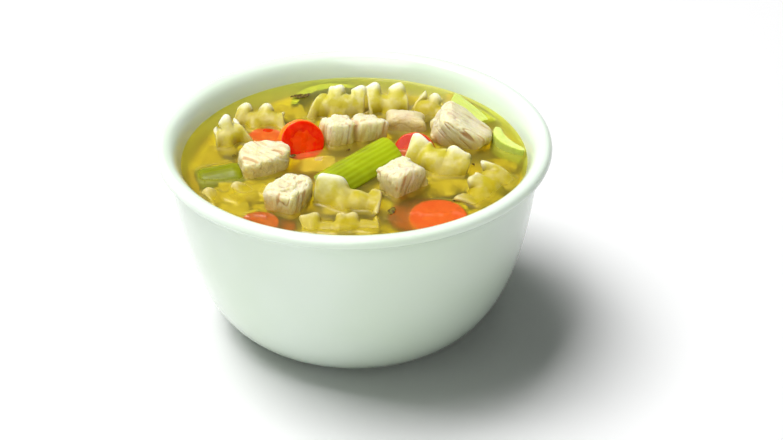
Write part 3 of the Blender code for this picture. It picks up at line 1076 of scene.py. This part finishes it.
@dataclass(frozen=True)
class Stalk:
    """A cut length of celery: a curved wall, thickest in its middle, with its ribbed round back on +Z.

    arc is the angle that its section spans, and slants are the slopes of its two cut ends. tone is above
    0 where it is darkened as painted shade for the broth over it and below 0 where it is pale. soft rounds
    its cut ends, and from 1 mm up they are worn to the skin's colour. lump is the height of its broad
    unevenness.
    """

    place: Place
    length: float
    radius: float
    arc: float
    thickness: float
    slants: Pair = (0.0, 0.0)
    ribs: float = 9.0
    rib_height: float = 0.06
    tone: float = 0.0
    soft: float = 0.5
    lump: float = 0.25
    seed: int = 0

    def shell(self) -> Shell:
        """The wall as an outer and an inner grid.

        The values are "rib", from 0 to 1 over a rib, "cut", which is 1 on a cut end, and "tone".
        """
        spread = math.radians(self.arc)
        along, end_height = stations(self.length, self.soft, 0.82 if self.soft < 1 else 0.1, 120)
        around, side_height = stations(spread * self.radius, 0.8, 0.5, 72)
        along, around = np.meshgrid(along, around, indexing="ij")
        height = end_height[:, None] * side_height
        wave = 0.5 + 0.5 * np.cos(2 * math.pi * self.ribs * around + self.seed)
        wave = wave * (1 - smooth_step(0.40, 0.5, np.abs(around)))
        wall = self.thickness * (0.5 + 0.5 * (1 - (2 * around) ** 2))
        lump = np.stack([along * self.length / 9.0, around * 3.0, 0 * along], axis=-1)
        centre = self.radius - wall / 2 + self.lump * value_noise(lump + 3.7 * self.seed, self.seed)
        outer = centre + wall / 2 * height + self.rib_height * (wave - 1) * height
        inner = centre - wall / 2 * height
        angle = around * spread
        upper, lower = (self.place.put(self.bent(along, angle, radius)) for radius in (outer, inner))
        cut = (self.soft < 1) * (1 - smooth_step(0.8, 0.95, end_height))[:, None] + 0 * around
        # tone above 0 is painted shade for the broth over the piece.
        tone = np.full(cut.shape, self.tone)
        return pillow(upper, lower, rib=(wave, 0 * wave), cut=(cut, cut), tone=(tone, tone))

    def bent(self, along: Array, angle: Array, radius: Array) -> Array:
        """Points of the wall in its own frame.

        Args:
            along: shares of the length from -0.5 to 0.5.
            angle: the angle round the section, from its top.
            radius: the distance from the section's centre.

        Returns:
            Points, with x, y, z on a new last axis.
        """
        side = radius * np.sin(angle)
        slant = np.where(along > 0, self.slants[1], self.slants[0])
        run = along * self.length + slant * side * np.abs(2 * along)
        return np.stack([run, side, radius * np.cos(angle) - self.radius], axis=-1)


@dataclass(frozen=True)
class Flake:
    """A scrap of herb leaf: a thin sheet, curled by this height and torn by this share of its size."""

    place: Place
    length: float
    width: float
    seed: int
    torn: float = 0.3
    curl: float = 0.35
    half_thickness: float = 0.11

    def shell(self) -> Shell:
        """The scrap as a pillow of two grids whose outline strays with noise."""
        shares = np.sin(np.linspace(-math.pi / 2, math.pi / 2, 26)) / 2
        along, across = np.meshgrid(shares, shares, indexing="ij")
        radius = np.hypot(along, across) + 1e-9
        widest = np.maximum(np.abs(along), np.abs(across))
        direction = np.stack([along / radius, across / radius, 0 * along], axis=-1)
        torn = 1 + self.torn * value_noise(direction * 2.2 + self.seed, self.seed)
        x = along * (widest / radius) * torn * self.length
        y = across * (widest / radius) * torn * self.width
        curl = self.curl * value_noise(np.stack([x, y, 0 * x], -1) / 1.2, self.seed + 1)
        z = curl + 0.10 * x**2 / self.length
        half = self.half_thickness * np.sqrt(np.clip(4 * np.clip(1 - 2 * widest, 0, 1), 0, 1))
        return pillow(*(self.place.put(np.stack([x, y, level], -1)) for level in (z + half, z - half)))


NOODLES = {
    "noodle_back_left": Noodle(
        Place(-8.6, 35, 71.5, 2, 0, 38), 24, 14, bend=20, cup=-3.2, waves=1.9, phases=(175, 60),
        slants=(7, 0), seed=1,
    ),
    "noodle_back_centre": Noodle(
        Place(12.8, 38, 71, 4, 0, 38), 16, 13, bend=10, cup=-3.0, ruffle=2.8, waves=1.6,
        phases=(-55, 60), seed=2,
    ),
    "noodle_back_right": Noodle(
        Place(29.4, 35.0, 68.5, -30, -5, 35), 16, 13, bend=30, cup=-3.0, ruffle=2.6, waves=1.7,
        phases=(60, 150), slants=(0, -4), seed=3,
    ),
    "noodle_right_inner": Noodle(
        Place(31, -9, 70.5, -24, -6, 38), 25, 14, bend=25, cup=-3.0, waves=1.5, phases=(312, 10), seed=4
    ),
    "noodle_right_outer": Noodle(
        Place(50, -25, 68.5, 63, 8, 24), 25, 13, bend=10, cup=-3.0, waves=2.0, phases=(60, 200), seed=5
    ),
    "noodle_front": Noodle(
        Place(-2, -34.6, 69.7, -7, 0, 30), 25, 13.5, bend=10, cup=-2.5, twist=-64, ruffle=3.0, waves=1.28,
        phases=(205, 160), seed=6,
    ),
    "noodle_front_low": Noodle(
        Place(-4, -51.5, 67.4, 3, 0, 20), 28, 12, bend=10, cup=-2.5, waves=2.0, phases=(20, 200), seed=7
    ),
    "noodle_left": Noodle(
        Place(-48, 11, 70.5, 25, 10, 45), 16, 13, bend=30, cup=-3.0, ruffle=2.8, waves=1.5, phases=(80, 200),
        slants=(4, -3), seed=8,
    ),
    "noodle_left_back": Noodle(
        Place(-38, 27, 69, -5, 0, 30), 23, 12, bend=10, cup=-2.5, waves=2.0, phases=(0, 120), slants=(3, -3),
        seed=9,
    ),
    "noodle_left_front": Noodle(
        Place(-42, -28, 66.4, 25, 0, 12), 23, 12, ruffle=2.2, waves=2.0, phases=(30, 160), seed=10
    ),
}

CHUNKS = {
    "chicken_centre": Chunk(
        Place(-1.2, 15.5, 69.3, 20, -4, 0), (23.5, 11.2, 13), 3, fibre=(0.15, 0.1, 1.0), groove=0.55,
        notches=(((1, 0.3, 0), 0.5, 1.2, 1.8),),
    ),
    "chicken_back": Chunk(
        Place(19.8, 24.6, 67.2, -4, 0, 0), (17, 10.5, 12), 5, boxiness=3.8, fibre=(1.0, 0.3, -0.2),
        groove=0.15, ragged=0.1, tone=0.3,
    ),
    "chicken_right": Chunk(Place(39.8, 14, 69.8, -12, -32, 0), (20.5, 16, 16), 8, fibre=(0.75, -0.1, -0.65)),
    "chicken_middle": Chunk(Place(17.5, -22.0, 69.6, 42, 4, 0), (15.3, 14.5, 14), 12, fibre=(0.25, 0.2, 1.0)),
    "chicken_front_left": Chunk(
        Place(-22.7, -33.7, 69.5, 60, 0, 0), (17.4, 11.5, 13), 15, fibre=(0.2, 0.3, 1.0), ragged=0.7
    ),
    "chicken_left": Chunk(Place(-34, -7, 69, 20, 0, 0), (17.5, 14, 11), 21, 0.18, fibre=(0.8, -0.6, -0.1)),
}

COINS = {
    "carrot_centre": Coin(Place(-20.5, 6.5, 70.3, 20, 0, 64), 8.5, 5.0, seed=1),
    "carrot_right": Coin(Place(23, 6.5, 65.5, -10, 0, 50), 7.8, 5.0, tone=0.5, seed=2),
    "carrot_front_right": Coin(Place(31, -43, 63.9, 0, 0, 5), 11.0, 5.0, tone=0.55, seed=3),
    "carrot_front_left": Coin(Place(-33.6, -46.6, 63.7, 0, 0, 5), 7.2, 5.0, tone=0.85, seed=4),
}

STALKS = {
    "celery_centre": Stalk(Place(2, -9.8, 72.3, 50, 0, 0), 37, 11.5, 105, 5.0, (0.3, 0.3), seed=1),
    "celery_back_left": Stalk(Place(-18.3, 60.1, 62.4, -58, 90, 0), 8, 17, 125, 5.0, tone=0.45, seed=2),
    "celery_right_back": Stalk(
        Place(45.1, 36.6, 69, -50, -8, 0), 20, 7, 105, 3.5, (-0.6, 0.2), tone=-0.7, seed=3
    ),
    "celery_right": Stalk(Place(54.2, 7.4, 66.3, 27, 80, 0), 9, 14.5, 100, 5.0, tone=-0.5, seed=4),
    "celery_left": Stalk(
        Place(-51.2, -11, 69.0, 12, 8, -10), 17, 9.0, 150, 5.0, tone=0.75, soft=3.2, rib_height=0.05, seed=5
    ),
}


def sunk_noodles(seed: int, bend: float, *rows: tuple[Place, float, float, float]) -> list[Noodle]:
    """Noodles below the surface, coarser than the others.

    Args:
        seed: the first one's seed.
        bend: their bend.
        rows: where each lies, its length, its width and the height of its ruffles.

    Returns:
        The noodles.
    """
    return [
        Noodle(place, length, width, bend, ruffle=ruffle, seed=seed + number, cuts=(62, 22))
        for number, (place, length, width, ruffle) in enumerate(rows)
    ]


SHALLOW_NOODLES = sunk_noodles(
    51, 5.0,
    (Place(-39, -20, 65.2, 20, 0, 8), 22, 12, 1.5),
    (Place(35, -19, 65.0, 20, 0, 10), 20, 12, 1.6),
    (Place(47, -38, 64.8, 48, 0, -6), 16, 11, 1.5),
    (Place(-44, -37, 64.8, -30, 0, 6), 18, 11, 1.5),
    (Place(40, 45, 65.0, -40, 0, 8), 16, 11, 1.5),
    (Place(-29, 37, 65.2, 15, 0, 6), 18, 11, 1.5),
    (Place(-6, -20, 64.6, 40, 0, -8), 20, 11, 1.5),
)
DEEP_NOODLES = sunk_noodles(
    31, 0.0,
    (Place(-40, -19, 63.6, 20, 0, 4), 24, 12, 1.6),
    (Place(-38, -36, 62.6, -20, 0, 4), 22, 12, 1.6),
    (Place(-31, 38, 63.4, 25, 0, 4), 18, 12, 1.6),
    (Place(-53, 4, 60.5, 80, 0, 5), 22, 11, 1.6),
    (Place(8, -56, 62.5, -8, 0, 5), 24, 11, 1.6),
    (Place(34, -17, 63.4, 30, 4, 8), 22, 12, 1.8),
    (Place(46, -36, 63.0, 40, 0, 8), 20, 11, 1.6),
    (Place(10, 52, 62.5, 5, 0, 5), 24, 12, 1.6),
    (Place(-2, -22, 63.0, 35, 0, 0), 26, 12, 1.6),
    (Place(36, 42, 64.0, -35, 0, 10), 18, 12, 1.8),
    (Place(-50, -8, 61.0, -60, 0, 0), 22, 12, 1.6),
    (Place(-14, 24, 62.5, 10, 0, 0), 24, 12, 1.6),
    (Place(54, -8, 62.0, 75, 0, 0), 22, 11, 1.6),
)
SUNK_COINS = (
    Coin(Place(-35, 16, 64.0, 0, 0, 8), 7.5, 5.0, tone=0.6, seed=9),
    Coin(Place(24, -37, 60.0, 0, 0, -5), 11.5, 4.0, tone=1.0, seed=10),
    Coin(Place(-29, -44, 59.5, 0, 5, 0), 9.0, 4.0, tone=1.0, seed=11),
)
SUNK_CHUNKS = (
    Chunk(Place(16, 9.5, 62.9, 10, 0, 0), (11, 8, 8), 41, fibre=(1, 0, 0), tone=1.0, cuts=40),
    Chunk(Place(-13, -3, 62.6, 10, 0, 0), (15, 11, 8), 42, fibre=(1, 0.2, 0), tone=0.7, cuts=40),
)
FLAKES = (
    Flake(Place(-22.5, 49.5, 67.6, 8, 2, 4), 8.0, 2.8, 1),
    Flake(Place(14.2, -40, 67.6, 60, 10, 10), 4.2, 2.6, 2),
    Flake(Place(37, -33, 67.4, 20, 5, 0), 2.4, 1.6, 3),
    Flake(Place(-23.5, 0.5, 67.6, 20, 5, 10), 2.8, 1.8, 4),
    Flake(Place(-2.5, 5.5, 67.4, 50, 0, 0), 1.8, 1.2, 5),
    Flake(Place(45, -6, 67.4, 110, 0, 0), 1.6, 1.1, 6),
    Flake(Place(-46, 1, 67.4, 40, 0, 0), 1.7, 1.2, 7),
    Flake(Place(28, -54, 67.4, 10, 0, 0), 1.5, 1.1, 8),
)


@dataclass
class Foods:
    """Every piece of food that stands out of the broth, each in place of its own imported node.

    cooked are the finishes of pasta, chicken, carrot and celery, and shells the surfaces made so far.
    """

    cooked: list[Material]
    shells: list[Shell] = field(default_factory=list)

    def build(self) -> None:
        """Makes the pieces and keeps their surfaces for the broth's edge."""
        kinds = (
            (NOODLES, Slot.NOODLE, 180.0), (CHUNKS, Slot.CHICKEN, 180.0),
            (COINS, Slot.CARROT, 180.0), (STALKS, Slot.CELERY, 60.0),
        )
        for finish, (items, slot, sharp) in zip(self.cooked, kinds):
            for name, item in items.items():
                shell = item.shell()
                self.shells.append(shell)
                make_piece("soup_" + name, shell, finish, (name,), sharp)


@dataclass
class SunkFood:
    """Food below the broth's surface, and scraps of herb: one joined mesh for each kind.

    cooked are the finishes of pasta, chicken, carrot and celery.
    """

    cooked: list[Material]
    herb: Material

    def build(self) -> None:
        """Makes the pieces."""
        pasta, chicken, carrot, _ = self.cooked
        kinds = (
            ("sunk_noodles", SHALLOW_NOODLES + DEEP_NOODLES, pasta, Slot.NOODLE),
            ("sunk_carrot", SUNK_COINS, carrot, Slot.CARROT),
            ("sunk_chicken", SUNK_CHUNKS, chicken, Slot.CHICKEN),
            ("herb_scraps", FLAKES, self.herb, Slot.CELERY),
        )
        for name, items, finish, slot in kinds:
            make_piece(name, joined([item.shell() for item in items]), finish)


@dataclass
class Broth:
    """The broth: a clear body up to its level, over a cloudy one in which nothing shows.

    radius is its top's, which runs a little into the bowl's wall, and wall where the wall breaks it. The
    broth climbs food and wall by climb, and climb_reach is how far out that fades. Food breaks the surface
    at its points within touch of the level, thinned to one in each square of the side edge_step. The cloudy
    body starts haze_depth below the level. ripple and swell are the heights of the noise on the two tops.
    """

    clear: Material
    cloudy: Material
    foods: list[Shell]
    node: str = "broth"
    radius: float = 66.0
    wall: float = 65.7
    climb: float = 0.75
    climb_reach: float = 1.1
    touch: float = 0.45
    edge_step: float = 0.3
    haze_depth: float = 10.0
    ripple: float = 0.05
    swell: float = 1.6
    rings: int = 185
    steps: int = 480

    def wall_radius(self, height: Array) -> Array:
        """The bowl's inner radius at a height."""
        inner = curve(INNER_WALL, 200)
        return np.interp(height, inner[:, 1], inner[:, 0])

    def edge_distance(self, points: Array) -> Array:
        """How far each point of the surface is from the nearest food or wall that breaks it.

        Args:
            points: (n, 2) positions.

        Returns:
            (n,) distances in millimetres, no more than a few times the climb's reach.
        """
        reach = 5 * self.climb_reach
        distance = np.minimum(np.abs(self.wall - np.linalg.norm(points, axis=1)), reach)
        for food in self.foods:
            edge = food.points[np.abs(food.points[:, 2] - BROTH_LEVEL) < self.touch][:, :2]
            edge = np.unique(np.round(edge / self.edge_step), axis=0) * self.edge_step
            if not len(edge):
                continue
            low, high = edge.min(0) - reach, edge.max(0) + reach
            near = np.flatnonzero(np.all((points > low) & (points < high), axis=1))
            for part in np.array_split(near, 1 + len(near) * len(edge) // PAIRS_AT_ONCE):
                gaps = points[part][:, None, :] - edge[None, :, :]
                distance[part] = np.minimum(distance[part], np.sqrt((gaps**2).sum(-1).min(1)))
        return distance

    def surface(self) -> Array:
        """The top as rings, each point lifted where the broth climbs food or wall, and by faint ripples."""
        radius = np.linspace(0, self.radius, self.rings)[:, None]
        angle = np.linspace(0, 2 * math.pi, self.steps, endpoint=False)
        flat = np.stack([radius * np.cos(angle), radius * np.sin(angle)], axis=-1)
        distance = self.edge_distance(flat.reshape(-1, 2)).reshape(flat.shape[:2])
        ripple = value_noise(np.concatenate([flat / 8.0, 0 * flat[..., :1]], axis=-1), 3)
        height = BROTH_LEVEL + self.climb * np.exp(-distance / self.climb_reach) + self.ripple * ripple
        return np.concatenate([flat, height[..., None]], axis=-1)

    def build(self) -> None:
        """Makes the clear body, and the cloudy one with a broad swell on its top."""
        heights = np.linspace(BROTH_LEVEL - 0.6, 20.0, 12)
        side = np.stack([self.wall_radius(heights) + 0.4, heights], axis=1)
        side = turned_profile(np.concatenate([side, [(0.0, 18.0)]]), self.steps)
        clear = wheel(np.concatenate([self.surface(), side]))
        make_piece("broth_clear", clear, self.clear, (self.node,))

        top = BROTH_LEVEL - self.haze_depth
        radius = np.linspace(0, self.wall_radius(np.array([top]))[0] + 0.6, 60)
        lid = np.stack([radius, np.full(60, top)], axis=1)
        heights = np.linspace(top - 1.0, 8.0, 14)
        side = np.stack([self.wall_radius(heights) + 0.6, heights], axis=1)
        rings = turned_profile(np.concatenate([lid, side, [(0.0, 7.0)]]), 160)
        swell = value_noise(rings / (14.0, 14.0, 30.0), 9)
        rings[..., 2] += np.where(rings[..., 2] > top - 0.5, self.swell * swell, 0)
        make_piece("broth_cloud", wheel(rings), self.cloudy, (self.node,))


# The studio


def face(thing: bpy.types.Object, aim: Triple, azimuth: float, elevation: float, distance: float) -> None:
    """Stands a lamp or a camera off a point, turned to look at it.

    Args:
        thing: the lamp or camera.
        aim: the point, in metres.
        azimuth: the angle in degrees from +X towards +Y of where it stands, seen from the point.
        elevation: its angle in degrees above the floor.
        distance: metres from the point.
    """
    turn, rise = math.radians(azimuth), math.radians(elevation)
    away = Vector((math.cos(turn) * math.cos(rise), math.sin(turn) * math.cos(rise), math.sin(rise)))
    thing.location = Vector(aim) + away * distance
    thing.rotation_euler = away.to_track_quat("Z", "Y").to_euler()


@dataclass(frozen=True)
class Lamp:
    """A square area lamp that faces the bowl, with its size in metres and its power in watts.

    A flagged lamp lights only the object's pieces and not the floor.
    """

    name: str
    azimuth: float
    elevation: float
    distance: float
    size: float
    power: float
    flagged: bool = False
    aim: Triple = (0.0, 0.0, 0.05)

    def build(self) -> None:
        """Adds the lamp. The floor has to come after it."""
        data = bpy.data.lights.new(self.name, "AREA")
        data.size = self.size
        data.energy = self.power
        lamp = add_object(self.name, data)
        face(lamp, self.aim, self.azimuth, self.elevation, self.distance)
        if self.flagged:
            lit = bpy.data.collections.new(self.name + "_lit")
            for piece in [thing for thing in bpy.data.objects if thing.type == "MESH"]:
                lit.objects.link(piece)
            lamp.light_linking.receiver_collection = lit


@dataclass
class Studio:
    """White floor, one large soft lamp from the back left, weak fill, and the camera.

    The camera stands distance from what it aims at. The floor runs from its front to its back, in metres
    along Y, and from there up a quarter round of the radius bend.
    """

    lamps: tuple[Lamp, ...] = (
        Lamp("key", 156.0, 68.0, 2.4, 1.5, 78.0),
        Lamp("fill_low", -105.0, 12.0, 1.5, 0.8, 2.8),
        Lamp("fill_high", -105.0, 46.0, 1.5, 1.0, 9.2, flagged=True),
        Lamp("fill_top", -20.0, 76.0, 1.5, 0.8, 2.4, flagged=True),
    )
    aim: Triple = (0.0141, 0.0, 0.0391)
    distance: float = 0.7192
    elevation: float = 31.4
    lens: float = 85.0
    sensor: float = 36.0
    front: float = -2.5
    back: float = 2.0
    bend: float = 0.8
    half_width: float = 3.0
    sky: Triple = (0.93, 0.97, 1.0)
    sky_strength: float = 0.03

    def floor(self) -> None:
        """Adds the pale floor, curved up far behind."""
        finish, graph, shader = new_material("studio floor")
        graph.feed_all(shader, Base_Color=(0.95, 0.95, 0.95, 1.0), Roughness=0.6, Specular_IOR_Level=0.2)
        angle = np.linspace(0.1, 1.57, 12)
        flat = np.linspace(self.front, self.back, 12)
        run = np.concatenate([flat, self.back + self.bend * np.sin(angle)])
        rise = np.concatenate([0 * flat, self.bend * (1 - np.cos(angle))])
        across = np.linspace(-self.half_width, self.half_width, 3)[:, None]
        points = np.stack(np.broadcast_arrays(across, run, rise), axis=-1)
        index = np.arange(points[..., 0].size).reshape(points.shape[:2])
        mesh = bpy.data.meshes.new("studio_floor")
        mesh.from_pydata(points.reshape(-1, 3).tolist(), [], grid_quads(index).tolist())
        mesh.shade_smooth()
        mesh.materials.append(finish)
        floor = add_object("studio_floor", mesh)

    def camera(self) -> None:
        """Adds the camera, above the front edge and looking along +Y."""
        data = bpy.data.cameras.new("camera")
        data.lens = self.lens
        data.sensor_width = self.sensor
        camera = add_object("camera", data)
        face(camera, self.aim, -90.0, self.elevation, self.distance)
        bpy.context.scene.camera = camera

    def build(self) -> None:
        """Adds everything and sets how light becomes colour."""
        world = bpy.data.worlds.new("studio")
        world.use_nodes = True
        background = world.node_tree.nodes["Background"]
        background.inputs["Color"].default_value = (*self.sky, 1.0)
        background.inputs["Strength"].default_value = self.sky_strength
        bpy.context.scene.world = world
        for lamp in self.lamps:
            lamp.build()
        self.floor()
        self.camera()
        bpy.context.scene.view_settings.view_transform = "Standard"


def main() -> None:
    logging.basicConfig(level=logging.INFO, format="%(name)s %(message)s")
    build_shared_groups()
    finishes = (
        GlazeFinish(), BrothFinish(), BROTH_HAZE,
        PastaFinish(), ChickenFinish(), CarrotFinish(), CeleryFinish(), HERB_LEAF,
    )
    glaze, broth, haze, *cooked, herb = [finish.build() for finish in finishes]
    Bowl(glaze).build()
    foods = Foods(cooked)
    foods.build()
    SunkFood(cooked, herb).build()
    Broth(broth, haze, foods.shells).build()
    Studio().build()
    bpy.context.view_layer.update()


if __name__ == "__main__":
    main()
